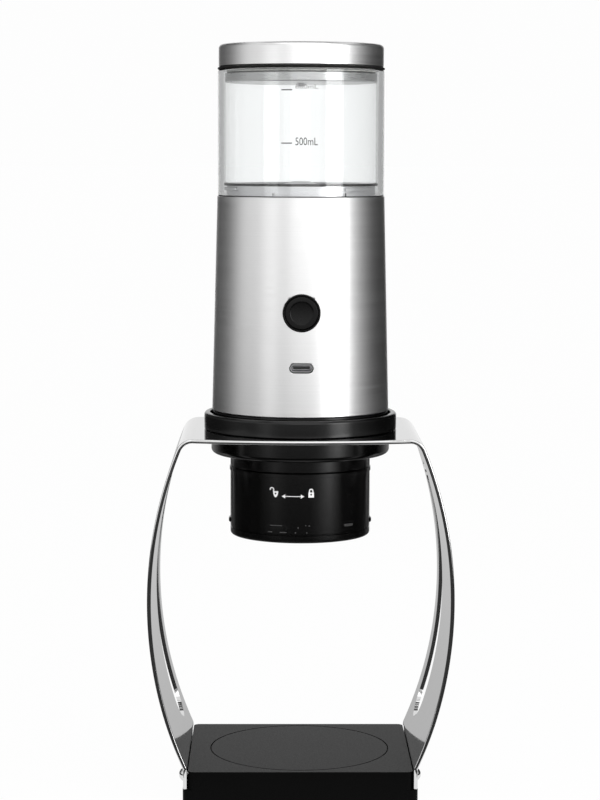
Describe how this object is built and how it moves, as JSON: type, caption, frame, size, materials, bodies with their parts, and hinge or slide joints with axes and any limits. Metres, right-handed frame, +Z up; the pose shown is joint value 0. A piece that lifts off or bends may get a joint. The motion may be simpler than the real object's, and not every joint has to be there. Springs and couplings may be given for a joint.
{
  "type": "portable espresso maker",
  "caption": "Cordless espresso maker with a clear water tank, steel body and twist-on basket holder, standing in the ring of a bent steel stand over a cup.",
  "frame": {"origin": "on the surface the feet stand on, under the machine's axis", "axes": "+Z up along the machine's axis, -Y to the front with the button"},
  "size_m": [0.1234, 0.091, 0.3064],
  "materials": {
    "brushed_steel": "fine brushed stainless steel",
    "polished_steel": "polished stainless steel sheet",
    "black_plastic": "satin black moulded plastic",
    "matte_black": "fine matte black plastic",
    "rubber": "black silicone rubber",
    "clear_plastic": "clear thick-walled plastic",
    "dark_steel": "plain steel",
    "aluminium": "cast aluminium",
    "cell_wrap": "heat-shrink wrap on a metal can",
    "brass": "cut brass",
    "board": "circuit board laminate",
    "grey_plastic": "moulded grey plastic",
    "silicone": "translucent silicone",
    "print_white": "white printed marks",
    "print_grey": "dark grey printed marks"
  },
  "bodies": {
    "stand": {"base_block": "matte_black", "base_bottom_plate": "matte_black", "base_ballast": "dark_steel", "cup_pad": "matte_black", "base_foot_1": "rubber", "base_foot_2": "rubber", "base_foot_3": "rubber", "base_foot_4": "rubber", "stand_strap": "polished_steel", "strap_screw_1": "dark_steel", "strap_screw_2": "dark_steel", "strap_screw_3": "dark_steel", "strap_screw_4": "dark_steel", "socket_ring": "black_plastic", "clamp_ring": "black_plastic"},
    "tank": {"water_tank": "clear_plastic"},
    "lid": {"lid_cap": "brushed_steel", "lid_seal": "rubber", "lid_core": "black_plastic", "lid_skirt": "brushed_steel", "lid_screw": "dark_steel"},
    "holder": {"holder_sleeve": "black_plastic", "filter_basket": "brushed_steel", "holder_spout": "black_plastic"},
    "button": {"button_cap": "black_plastic"},
    "motor_rotor": {"motor_pinion": "brass"},
    "pump_drive": {"pump_gear": "brass"},
    "machine": {"base_cap": "black_plastic", "battery_cell_1": "cell_wrap", "battery_cell_2": "cell_wrap", "battery_cell_3": "cell_wrap", "body_shell": "brushed_steel", "button_bezel": "black_plastic", "cell_retainer": "grey_plastic", "control_board": "board", "group_gasket": "silicone", "group_head": "black_plastic", "heater_block": "aluminium", "inlet_screen": "dark_steel", "inlet_tube": "silicone", "inner_chassis": "grey_plastic", "neck_screw_1": "dark_steel", "neck_screw_2": "dark_steel", "neck_screw_3": "dark_steel", "pump_body": "grey_plastic", "pump_motor": "dark_steel", "shower_screen": "dark_steel", "shower_screw": "dark_steel", "tact_switch": "grey_plastic", "tank_deck": "brushed_steel", "tank_seal": "rubber", "usb_c_port": "dark_steel", "usb_c_tongue": "black_plastic"}
  },
  "joints": [
    {"name": "machine_lift", "type": "slide", "parent": "stand", "child": "machine", "axis": [0, 0, 1], "range_m": [0, 0.055]},
    {"name": "tank_twist", "type": "hinge", "parent": "machine", "child": "tank", "pos_m": [0, 0, 0.2453], "axis": [0, 0, 1], "range_deg": [0, 35]},
    {"name": "lid_lift", "type": "slide", "parent": "tank", "child": "lid", "axis": [0, 0, 1], "range_m": [0, 0.03]},
    {"name": "holder_twist", "type": "hinge", "parent": "machine", "child": "holder", "pos_m": [0, 0, 0.134], "axis": [0, 0, 1], "range_deg": [-35, 0]},
    {"name": "button_press", "type": "slide", "parent": "machine", "child": "button", "axis": [0, 1, 0], "range_m": [0, 0.0008], "stiffness_N_per_m": 1500},
    {"name": "pump_gear_spin", "type": "hinge", "parent": "machine", "child": "pump_drive", "pos_m": [0, 0.012, 0.158], "axis": [0, 0, 1], "continuous": true},
    {"name": "motor_spin", "type": "hinge", "parent": "machine", "child": "motor_rotor", "pos_m": [0, 0, 0.158], "axis": [0, 0, 1], "continuous": true}
  ],
  "couplings": [
    {"joint": "motor_spin", "follows": "pump_gear_spin", "ratio": -3}
  ]
}
